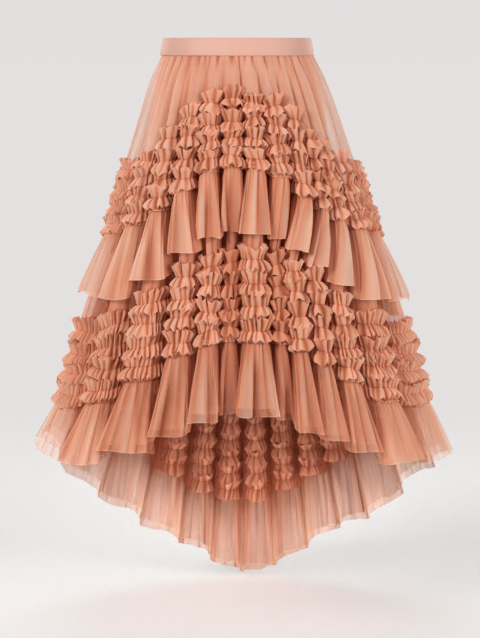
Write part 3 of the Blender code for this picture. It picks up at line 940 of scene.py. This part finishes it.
def cut_of(sheet):
    """The flat size of gathered cloth: its real area over its real depth."""
    grid = sheet["grid"]
    across = np.cross(grid[1:, 1:] - grid[:-1, :-1], grid[1:, :-1] - grid[:-1, 1:])
    depth = float(np.ptp(sheet["down"]))
    return np.linalg.norm(across, axis=-1).sum() / 2 / depth, depth


def gather_layers(around, down, layers, seed):
    """Add up gathers of several sizes. Each layer: form, pitch, size and lap at this row."""
    total, laps = 0.0 * around, 0.0 * around
    for number, (form, pitch, size, lap) in enumerate(layers):
        drift = DRIFT * down * wander(around, DRIFTS_WITHIN * pitch, seed + 50 + number)
        phase = uneven_phase(around, pitch, seed + 10 * number) + drift
        uneven = MEAN_SIZE + SIZE_SPREAD * wander(around, SPREADS_WITHIN * pitch,
                                                  seed + 10 * number + 5)
        total += form(phase) * size * uneven
        laps -= lap * pitch / (2 * np.pi) * np.sin(phase) * uneven
    return total, laps


def around_at(half, places, height, lowness):
    """Distance along the wall at a seam, with its big folds."""
    return along_wall(folded_line(half, places, {**BAND_FOLD, "height": height,
                                                 "lowness": lowness, "folds": 1.0}))


print("widest gathers' sizes:", np.round(gather_layers(np.linspace(0, 0.1, 4), 1.0, (
    (ridge, 0.024, 0.005, 1.0),), 1)[0], 4))

# %% [markdown]
# ## Upper panel
# Right under the waistband the net is gathered tightly, with a gather every 7 to 15 mm. Further
# down these small gathers run into fewer, softer ones, and those into the big folds.

# %% Upper panel
PANEL_ROWS = 26
PANEL_STEPS = 60         # points along each big fold
ROWS_CLOSER = 1.15       # the higher, the closer the rows lie at the waistband
PANEL_TUCKED = 0.0025    # of the cloth's top is inside the waistband
PANEL_UNDER_BAND = 0.006     # of its foot is under the ruffles
YOKE_FOOT_FOLDS = 0.5    # of the big folds' depth is reached at its foot
FOLDS_COME = 1.2         # the higher, the lower they begin
YOKE_PULLED_IN = 0.004   # metres, half-way down
YOKE_DARK = 0.7          # painted shade of its creases
YOKE_SHADE = 0.30        # painted shade of its valleys. Under the waistband they have their full painted shade
PANEL_SEED = 100


def panel_gathers(down):
    """Three sizes of gathers. The small ones fade on the way down, and the large ones grow."""
    return (
        (ridge, 0.0068, 0.0009 * (1 - ease(down / 0.35)), 0.3),
        (ridge, 0.0145, 0.0016 + 0.0026 * ease(down / 0.08) - 0.0022 * ease(down / 0.8),
         0.4 + 0.8 * ease(down / 0.15)),
        (ridge, 0.0240, 0.0006 + 0.0048 * ease(down / 0.45), 0.4 + 1.1 * ease(down / 0.5)))


def make_upper_panel(side, seed):
    half = HALVES[side]
    places = half.places(PANEL_STEPS)
    top = -WAISTBAND_HEIGHT / 2 + PANEL_TUCKED
    foot = half.seam("upper_band_top", places, 0.0) - PANEL_UNDER_BAND
    waist = along_wall(plain_wall(SECTIONS, half.angle(places, 0.0), np.full(len(places), top)))
    rows = []
    for down in np.linspace(0, 1, PANEL_ROWS)**ROWS_CLOSER:
        gathered, laps = gather_layers(waist, down, panel_gathers(down), seed)
        rows.append({**BAND_FOLD, "height": top + (foot - top) * down, "lowness": 0.0,
                     "folds": YOKE_FOOT_FOLDS * down**FOLDS_COME, "gathers": gathered,
                     "laps": laps, "flare": -YOKE_PULLED_IN * np.sin(np.pi * down),
                     "dark": YOKE_DARK, "relief": 0.003 + 0.004 * ease(down / 0.3),
                     "shade": YOKE_SHADE + (1 - YOKE_SHADE) * (1 - ease(down / 0.45))})
    sheet = finish_sheet(folded_sheet(half, places, rows), fullness(half, places, 0.0))
    piece = cloth_object("upper_panel_tulle_" + side, [sheet], tulle_panel)
    dress(piece, ["upper_panel_" + side], cut_of(sheet))


for number, side in enumerate(HALVES):
    make_upper_panel(side, PANEL_SEED + SEED_STEP * number)

# %% [markdown]
# ## Ruffle bands
# A ruffle band is a plain folded strip of net with four gathered strips on it, one above the
# other. Each is sewn along its own middle, gathered to about half of its length, and so wide
# that its edges lap over the next strip's. Net this crisp doesn't hang in waves: it breaks into
# folds that run out from the stitches, some large and some nearly flat, soft where they stand
# out and sharp where they lie in.
# The half above the stitches stands up like a fan, and the half below falls like a bell. Both
# are worked out from the stitches outwards. At each step the cloth has a tilt, steeper in a
# fold that stands out than in the next one, which lies in. A steep fold's edge ends up nearer
# to the stitches. Folds that stand out are cut a little shorter as well, and the width wanders,
# so the edges are scalloped and ragged.

# %% Ruffle strips: sizes
RUFFLE_STRIPS = 4
STRIP_STEPS = 120            # points along each big fold, before it is broken into folds
PLEAT_PITCH = 0.0078         # from one sharp fold that lies in to the next, on average
PITCH_RANGE = (0.4, 1.6)     # how unequal these are
LEAN_RANGE = (0.25, 1.45)    # how unequally the folds lean
FLAT_LEAN = (-0.2, 0.2)      # how far the flat parts between folds lean astray
FLAP_ROWS = (0.0, 0.10, 0.28, 0.52, 0.78, 1.0)    # shares of the way from stitches to edge
FAN_TILTS = (0.32, 0.40)     # radians from the band, at the stitches and at the edge
BELL_TILTS = (0.76, -0.05)
PLEAT_TILT = 0.27            # how far an outer fold leans out of that, and an inner one in
LEAN_COMES = 0.3             # the lower, the closer to the stitches the folds begin to lean
TILT_WANDERS = 0.6           # of the tilt, from one part of a strip to another
CRUMPLE_TILT = 0.16          # how much the folds of the crumpled net stray from straight
CRUMPLE_SHIFT = 0.0011       # metres
ASTRAY = 0.0060              # metres by which folds slant along the strip
ASTRAY_WITHIN = 0.010
STITCH_STAND = 0.0030        # metres from the band
STITCH_PLEAT = 0.0016        # how far the folds stand out and lie in at the stitches
SCALLOP = 0.12               # folds that stand out are shorter by this share, inner ones longer
WIDTH_WANDERS = 0.20         # of the width
WANDERS_WITHIN = 0.018       # metres along a strip
RAGGED = 0.05                # of the width, from fold to fold
STRIP_OVERLAP = 1.28         # edges are cut to reach past where they meet
CREASE_OPENING = (0.75, 0.2)     # of the full tilt in the creases, at a side and in the middle
CLOTH_PER_BAND = 2.0         # metres of strip in a metre of band
STRIP_EDGE = 0.5             # a strip's cut edges get less painted highlight and cover than a hem's
RUFFLE_SHADE = 0.70          # painted shade of the valleys between its folds
STITCH_SHADE = 0.6           # how much the painted shade grows towards the stitches
SIDE_CREASE_SHADE = 0.4      # of the full painted shade is left in the creases at the sides
INNER_SHADE = 0.24           # painted shade of all that is inside the skirt
INNER_DEPTH = 0.036          # of ruffles on the inside, behind the plain wall
INNER_STAND = 0.034          # their columns stand out into the skirt
INNER_COLUMN = 0.7           # the lower, the narrower these columns
BELOW = 0.004                # metres, to find which way is down along the wall
print("strips in a band:", RUFFLE_STRIPS, "with a fold every", 1000 * PLEAT_PITCH, "mm")

# %% Ruffle strips: sharp folds
def crisp_places(length, pitch, chance):
    """Places along a strip: a fold, the middle of the flat part after it, a fold, and so on."""
    steps = chance.uniform(*PITCH_RANGE, int(2 * length / pitch))
    folds = np.concatenate([[0.0], np.cumsum(steps) / steps.sum() * length])
    places = np.empty(2 * len(folds) - 1)
    places[::2] = folds
    places[1::2] = (folds[1:] + folds[:-1]) / 2
    return places


def crisp_leans(count, chance):
    """How far the cloth leans out at such places: +1 at a fold that stands out, -1 inside."""
    folds = chance.uniform(*LEAN_RANGE, (count + 1) // 2)
    folds[1::2] *= -1
    leans = np.empty(count)
    leans[::2] = folds
    leans[1::2] = (folds[1:] + folds[:-1]) / 2 + chance.uniform(*FLAT_LEAN, count // 2)
    return leans


print("a few leans:", np.round(crisp_leans(5, np.random.default_rng(1)), 2))

# %% [markdown]
# ## From folds to a strip
# One flap is worked out at a time. A strip is a fan and a bell that share their stitches. In
# the big creases there is no room for a ruffle to stand, so its tilt is smaller there.

# %% Ruffle strips: fan and bell
def flap(along, directions, opening, width, tilts, size, seed):
    """Rows of points from the stitches of a strip to one of its cut edges."""
    line, ahead, away_from_stitches, out = directions
    chance = np.random.default_rng(seed)
    leans = crisp_leans(len(along), chance)
    width = width * (1 + WIDTH_WANDERS * wander(along, WANDERS_WITHIN, seed) - SCALLOP * leans
                     + RAGGED * chance.uniform(-1, 1, len(along)))
    lean = 1 + TILT_WANDERS * wander(along, WANDERS_WITHIN, seed + 4)
    astray = ASTRAY * size * wander(along, ASTRAY_WITHIN, seed + 5)
    away, reach = 0 * along + STITCH_STAND, 0 * along
    rows = [line + out * away[:, None]]
    for start, end in zip(FLAP_ROWS, FLAP_ROWS[1:]):
        share = (start + end) / 2
        tilt = opening * (lean * (tilts[0] + (tilts[1] - tilts[0]) * share)
                          + PLEAT_TILT * share**LEAN_COMES * leans
                          + CRUMPLE_TILT * share * chance.uniform(-1, 1, len(along)))
        away = away + (end - start) * width * np.sin(tilt)
        reach = reach + (end - start) * width * np.cos(tilt)
        pleat = opening * STITCH_PLEAT * size * leans
        aside = opening * end * (astray + CRUMPLE_SHIFT * chance.uniform(-1, 1, len(along)))
        rows.append(line + out * (away + pleat)[:, None] + ahead * aside[:, None]
                    + away_from_stitches * reach[:, None])
    return rows, leans


def read_at(run, places, values):
    """Points of a line, read at distances along it."""
    return np.stack([np.interp(places, run, values[:, k]) for k in range(3)], axis=-1)


print("steps from the stitches to an edge:", len(FLAP_ROWS) - 1)

# %% Ruffle strips: one strip
def ruffle_strip(half, lowness, heights, folds, widths, seed, size=1.0, inside=False):
    """One gathered strip along a folded line. Its widths are above and below the stitches."""
    places = half.places(STRIP_STEPS)
    row = {**BAND_FOLD, "height": heights, "lowness": lowness, "folds": folds}
    if inside:
        row["flare"] = -(INNER_DEPTH + INNER_STAND * (1 - half.crease(places, 1.0)))
    line = folded_line(half, places, row)
    below = folded_line(half, places, {**row, "height": heights - BELOW})
    run = along_wall(line)
    along = crisp_places(run[-1], PLEAT_PITCH * size, np.random.default_rng(seed))
    line, below = read_at(run, along, line), read_at(run, along, below)
    ahead = unit(np.gradient(line, axis=0))
    down = unit(below - line)
    out = unit(np.cross(down, ahead)) * (-1 if inside else 1)
    swell = np.interp(along, run, 1 - half.crease(places, INNER_COLUMN) if inside
                      else half.swell(places))
    in_middle = np.interp(along, run, middle(half, places, lowness))
    least = CREASE_OPENING[0] + (CREASE_OPENING[1] - CREASE_OPENING[0]) * in_middle
    opening = least + (1 - least) * swell
    behind = SET_BACK_SHADE * np.interp(along, run, np.maximum(half.behind(places, lowness), 0))
    wide = [np.interp(along, run, np.broadcast_to(width, len(run))) for width in widths]
    fan, fan_leans = flap(along, (line, ahead, -down, out), opening, wide[0], FAN_TILTS, size,
                          20 * seed)
    bell, bell_leans = flap(along, (line, ahead, down, out), opening, wide[1], BELL_TILTS, size,
                            20 * seed + 10)
    shares = np.array([-share for share in FLAP_ROWS[:0:-1]] + list(FLAP_ROWS))
    middles = np.where(shares < 0, wide[0].mean(), wide[1].mean())
    # Painted shade: in folds that lie in, towards the stitches, in the big creases, and on folds
    # set back or on ruffles inside the skirt.
    valley = np.where(shares[:, None] < 0, -fan_leans, -bell_leans)
    crease = (1 - swell)**1.5 * (SIDE_CREASE_SHADE + (1 - SIDE_CREASE_SHADE) * in_middle)
    return {"grid": np.array(fan[:0:-1] + bell), "along": along[None, :] * CLOTH_PER_BAND,
            "down": (shares * middles)[:, None],
            "full": np.interp(along, run, fullness(half, places, lowness))[None, :],
            "painted_shade": in_shade(crease + (INNER_SHADE if inside else behind),
                             valley + STITCH_SHADE * (1 - np.abs(shares[:, None])),
                             RUFFLE_SHADE),
            "edge": (np.abs(shares) == 1)[:, None] * STRIP_EDGE,
            "shirr": (shares == 0)[:, None] * 1.0,
            "crisp": (np.arange(len(along)) % 4 == 2)[None, :] * 1.0}


print("rows of points in a strip:", 2 * len(FLAP_ROWS) - 1)

# %% [markdown]
# ## Putting bands together
# A band's ground is sewn first and its strips on top. The last strip is only a small heading,
# where the flounce is sewn on. The back's lower band has strips on its inside too: they show
# under the short front hem, against the long back.

# %% Bands
BANDS = {
    # tier: lowness of its folds, seam above, seam below, folds at its top
    "upper": (0.0, "upper_band_top", "upper_band_foot", YOKE_FOOT_FOLDS),
    "lower": (1.0, "lower_band_top", "lower_band_foot", 1.0),
}
BAND_STEPS = 40                # points along each big fold
HEADING = (0.0065, 0.0050)     # the small frill where a flounce is sewn on, up and down
HEADING_SIZE = 0.55            # of its folds, beside a strip's
FULL_FOLDS_AT = 0.45           # share of the way down a band where its folds are full
STRIP_WANDERS = 0.006          # metres by which a strip is sewn out of line
STRIP_WANDERS_WITHIN = 0.6     # of a big fold
BAND_SEED = 1000
INNER_SEED = 1900


def cut_of_strips(strips):
    """The flat size of several strips, end to end."""
    lengths = [cut_of(strip)[0] for strip in strips]
    print("strips' cut lengths:", np.round(lengths, 2))
    area = sum(length * cut_of(strip)[1] for length, strip in zip(lengths, strips))
    return sum(lengths), area / sum(lengths)


def make_band(tier, side, seed):
    half = HALVES[side]
    lowness, top_name, foot_name, top_folds = BANDS[tier]

    def heights(places, down):
        top = half.seam(top_name, places, lowness)
        return top + (half.seam(foot_name, places, lowness) - top) * down

    def folds(down):
        return float(np.interp(down, (0, FULL_FOLDS_AT), (top_folds, 1)))

    places = half.places(BAND_STEPS)
    rows = [{**BAND_FOLD, "height": heights(places, down), "lowness": lowness,
             "folds": folds(down), "gathers": 0 * places, "laps": 0 * places, "shade": 1.0}
            for down in np.linspace(0, 1, 2 * RUFFLE_STRIPS + 1)]
    sheet = finish_sheet(folded_sheet(half, places, rows), fullness(half, places, lowness))
    ground = cloth_object(f"{tier}_band_tulle_{side}", [sheet], tulle_band)
    dress(ground, [f"{tier}_ruffles_{side}"], cut_of(sheet))

    places = half.places(STRIP_STEPS)
    strip_width = (heights(places, 0.0) - heights(places, 1.0)) / RUFFLE_STRIPS * STRIP_OVERLAP
    strips = []
    for strip in range(RUFFLE_STRIPS):
        down = (strip + 0.5) / RUFFLE_STRIPS
        uneven = STRIP_WANDERS * wander(places, STRIP_WANDERS_WITHIN, seed + strip)
        strips.append(ruffle_strip(half, lowness, heights(places, down) + uneven, folds(down),
                                   (strip_width / 2, strip_width / 2), seed + strip))
    strips.append(ruffle_strip(half, lowness, heights(places, 1.0), 1.0, HEADING, seed + 9,
                               size=HEADING_SIZE))
    ruffles = cloth_object(f"{tier}_ruffle_strips_{side}", strips, tulle_ruffle)
    dress(ruffles, [f"{tier}_ruffles_{side}"], cut_of_strips(strips))


def make_inner_ruffles(tier, side, seed):
    """Ruffles on the inside, which show under the short front hem."""
    half = HALVES[side]
    lowness, *seams, _ = BANDS[tier]
    places = half.places(STRIP_STEPS)
    top, foot = [half.seam(name, places, lowness) for name in seams]
    width = (top - foot) / RUFFLE_STRIPS * STRIP_OVERLAP / 2
    strips = []
    for strip in range(-1, RUFFLE_STRIPS):
        heights = top + (foot - top) * (strip + 0.5) / RUFFLE_STRIPS
        strips.append(ruffle_strip(half, lowness, heights, 0.0, (width, width), seed + strip,
                                   inside=True))
    piece = cloth_object(f"{tier}_inner_ruffle_strips_{side}", strips, tulle_ruffle)
    dress(piece, [f"{tier}_ruffles_{side}"], cut_of_strips(strips))


for tier_number, tier in enumerate(BANDS):
    for side_number, side in enumerate(HALVES):
        make_band(tier, side, BAND_SEED + SEED_STEP * (4 * tier_number + 2 * side_number))
make_inner_ruffles("lower", "back", INNER_SEED)

# %% [markdown]
# ## Middle panel
# Between the two ruffle bands runs a plain panel. The upper flounce hides most of it, and it
# shows below that flounce's hem, before the lower band begins.

# %% Middle panel
MIDDLE_ROWS = 12
MIDDLE_STEPS = 48        # points along each big fold
MIDDLE_TUCK = 0.005      # metres by which it lies further in between its seams
MIDDLE_GATHERS = ((ridge, 0.015, 0.0022, 0.3),)
# MIDDLE_SHADE is the painted shade in the valleys between its gathers.
MIDDLE_SHADE = 0.6
MIDDLE_SEED = 2000


def make_middle_panel(side, seed):
    half = HALVES[side]
    places = half.places(MIDDLE_STEPS)
    top = half.seam("upper_band_foot", places, 0.0)
    foot = half.seam("lower_band_top", places, 1.0)
    around = around_at(half, places, top, 0.5)
    rows = []
    for down in np.linspace(0, 1, MIDDLE_ROWS):
        gathered, laps = gather_layers(around, down, MIDDLE_GATHERS, seed)
        rows.append({**BAND_FOLD, "height": top + (foot - top) * down, "lowness": down,
                     "folds": 1.0, "gathers": gathered, "laps": laps, "shade": MIDDLE_SHADE,
                     "flare": -MIDDLE_TUCK * np.sin(np.pi * down)})
    sheet = finish_sheet(folded_sheet(half, places, rows), fullness(half, places, 0.5))
    piece = cloth_object("middle_panel_tulle_" + side, [sheet], tulle_middle[side])
    dress(piece, ["middle_panel_" + side], cut_of(sheet))


for number, side in enumerate(HALVES):
    make_middle_panel(side, MIDDLE_SEED + SEED_STEP * number)

# %% [markdown]
# ## Flounces
# A flounce is a wide strip, gathered along its top and hanging free. Its small gathers run
# down into flat pleats of two sizes on each big fold, and the folds open towards the hem until
# their sides lap over each other. Only the lower flounce stays shallower behind, where its
# gathers lie close nearly all the way down and make the net denser, with painted shade. The
# hems drop and rise a little along the way. The net is cut, not hemmed, so the edge is clean
# and thin, with a light line of painted highlight. The lower flounce has a second, shorter
# layer inside.

# %% Flounces: sizes
FLOUNCE_ROWS = 16
LAST_ROW = 0.98          # share of the way down of the row just above the hem
UPPER_FLOUNCE = {"steps": 76, "stand": 0.0024, "flare": 0.012, "folds": 1.0, "bunched": 0.1,
                 "lowness": 0.7, "hem_wanders": 0.002, "under_seam": 0.0006}
HEM_FLOUNCE = {"steps": 88, "flare": 0.011, "hem_wanders": 0.003}
HEM_SQUEEZE = {"front": 1.4, "back": 0.5}    # from about 1 on, folds swing over their sides
HEM_BROAD = 3.4          # the higher, the narrower the creases at a hem
HEM_UNEVEN = 2.2         # times as far as at the seam, folds lie one behind another at a hem
HEM_PLEATS = {"front": 1.0, "back": 0.6}     # sizes of the hem flounce's gathers and pleats
HEM_FOLDS = {"front": 1.15, "back": 0.7}     # depth of its big folds, beside the band's
HEM_LEVEL = {"front": LEVEL_SHARE, "back": 0.25}    # how level each big fold's hem is
HEM_BUNCHED = {"front": 0.1, "back": 0.9}           # of the way down, where gathers lie close: more cover and painted shade
HEM_WANDERS_WITHIN = 0.3     # of a big fold
UNDER_SHORTER = 0.012        # metres, and how far inside the outer layer's hem it hangs
UNDER_INSIDE = 0.010
DROP_COLUMNS = ("angle", "drop")
DROPS = {                    # the hems aren't quite the same on both sides
    "upper": ((0, 0.0), (235, 0.0), (260, -0.016), (285, -0.014), (308, 0.0), (360, 0.0)),
    "hem": (
        (0, 0.0), (75, 0.0), (92, 0.006), (103, 0.014), (112, 0.012), (121, 0.010),
        (134, 0.015), (142, 0.034), (149, 0.022), (156, 0.007), (172, 0.008), (180, 0.006),
        (187, -0.006), (193, -0.018), (199, 0.0), (205, 0.004), (213, 0.010), (220, 0.006),
        (227, 0.012), (236, 0.000), (242, -0.026), (260, -0.026), (275, -0.022),
        (288, -0.012), (302, 0.0), (360, 0.0)),
}
# Painted shade of the valleys between gathers, then of the creases at the seam and at the hem.
UPPER_DARKNESS = (0.8, (1.0, 0.6))
HEM_DARKNESS = {"front": (0.8, (1.0, 0.6)), "back": (0.5, (0.5, 0.15))}
FLOUNCE_SEEDS = {"upper": 3000, "outer": 4000, "under": 5000}
print("most that a hem drops and rises:", max(row[1] for row in DROPS["hem"]),
      -min(row[1] for row in DROPS["hem"]))

# %% Flounces: rows
def drop(name, half, places, lowness):
    """How much lower than its seam a hem hangs."""
    table = DROPS[name]
    return np.interp(half.angle(places, lowness) % 360, column(table, DROP_COLUMNS, "angle"),
                     column(table, DROP_COLUMNS, "drop"))


def flounce_gathers(down):
    """Small gathers at the seam, and pleats of two sizes at the hem."""
    return (
        (ridge, 0.0068, (0.0010 + 0.0008 * ease(down / 0.08)) * (1 - ease(down / 0.45)), 0.3),
        (pleat, 0.0135, 0.0024 * ease(down / 0.15) * (1 - 0.3 * down), 0.4 + 0.6 * down),
        (pleat, 0.0270, 0.0050 * ease(down / 0.7), 0.3 + 1.0 * down))


def flounce_rows(around, heights, lownesses, squeeze, most_folds, flares, seed, shade, dark,
                 pleats=1.0):
    """Rows of a flounce from its seam to its hem."""
    shares = np.concatenate([np.linspace(0, 1, FLOUNCE_ROWS)[:-1], [LAST_ROW, 1.0]])
    rows = []
    for down in shares:
        gathered, laps = gather_layers(around, down, flounce_gathers(down), seed)
        opening = (ease(down) + down) / 2
        height = heights[0] + (heights[1] - heights[0]) * down
        rows.append({**BAND_FOLD, "height": height, "lowness": lownesses(height),
                     "squeeze": BAND_SQUEEZE + (squeeze - BAND_SQUEEZE) * down**0.8,
                     "broad": BAND_FOLD["broad"] + (HEM_BROAD - BAND_FOLD["broad"]) * down,
                     "uneven": 1 + (HEM_UNEVEN - 1) * down,
                     "shade": shade, "dark": dark[0] + (dark[1] - dark[0]) * down,
                     "folds": 1 + (most_folds - 1) * opening, "laps": laps,
                     "gathers": pleats * gathered,
                     "flare": flares[0] + (flares[1] - flares[0]) * down**0.6})
    return rows


print("rows of points in a flounce:", FLOUNCE_ROWS + 1)

# %% Flounces: sewing
def sew_flounce(name, side, rows, places, node, material, bunched):
    """`bunched` is the share of the flounce, from its seam, where its gathers lie close."""
    half = HALVES[side]
    shirr = np.clip(1 - np.linspace(0, 1, len(rows)) / bunched, 0, 1)
    sheet = finish_sheet(folded_sheet(half, places, rows), fullness(half, places, 1.0),
                         edge_rows=(len(rows) - 1,), shirr=shirr[:, None])
    piece = cloth_object(name, [sheet], material)
    dress(piece, [node], cut_of(sheet))


def make_upper_flounce(side, seed):
    half, sizes = HALVES[side], UPPER_FLOUNCE
    places = half.places(sizes["steps"])
    panel_top = half.seam("upper_band_foot", places, 0.0)
    panel_foot = half.seam("lower_band_top", places, 1.0)
    hem = (half.seam("upper_hem", places, sizes["lowness"])
           + sizes["hem_wanders"] * wander(places, HEM_WANDERS_WITHIN, seed)
           - drop("upper", half, places, sizes["lowness"]))
    rows = flounce_rows(
        around_at(half, places, panel_top, 0.3), (panel_top - sizes["under_seam"], hem),
        lambda height: np.clip((panel_top - height) / (panel_top - panel_foot), 0, 1),
        HEM_SQUEEZE["front"], sizes["folds"],
        (sizes["stand"], sizes["stand"] + sizes["flare"]), seed, *UPPER_DARKNESS)
    sew_flounce("upper_flounce_tulle_" + side, side, rows, places, "upper_flounce_" + side,
                tulle_flounce[side], sizes["bunched"])


def make_hem_flounce(side, seed, layer):
    half, sizes = HALVES[side], HEM_FLOUNCE
    places = half.places(sizes["steps"])
    shorter, inside = (UNDER_SHORTER, UNDER_INSIDE) if layer == "under" else (0.0, 0.0)
    top = half.seam("lower_band_foot", places, 1.0)
    hem = (half.seam("hem", places, 1.0, HEM_LEVEL[side])
           + sizes["hem_wanders"] * wander(places, HEM_WANDERS_WITHIN, seed)
           - drop("hem", half, places, 1.0))
    rows = flounce_rows(
        around_at(half, places, top, 1.0), (top, hem + shorter), lambda height: 1.0,
        HEM_SQUEEZE[side], HEM_FOLDS[side], (0.0, sizes["flare"] - inside), seed,
        *HEM_DARKNESS[side], HEM_PLEATS[side])
    sew_flounce(f"hem_flounce_{layer}_{side}", side, rows, places, "hem_flounce_" + side,
                tulle_hem[side], HEM_BUNCHED[side])


for number, side in enumerate(HALVES):
    make_upper_flounce(side, FLOUNCE_SEEDS["upper"] + SEED_STEP * number)
    for layer in ("outer", "under"):
        make_hem_flounce(side, FLOUNCE_SEEDS[layer] + SEED_STEP * number, layer)

# %% [markdown]
# ## Sizes
# The dressed skirt has to stay as large as the solids. Both boxes are printed, so that
# they can be compared.

# %% Print the boxes and finish
dressed_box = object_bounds()
for label, corners in (("solids", solid_box), ("dressed", dressed_box)):
    print(label, [round(corners[1][k] - corners[0][k], 4) for k in range(3)])
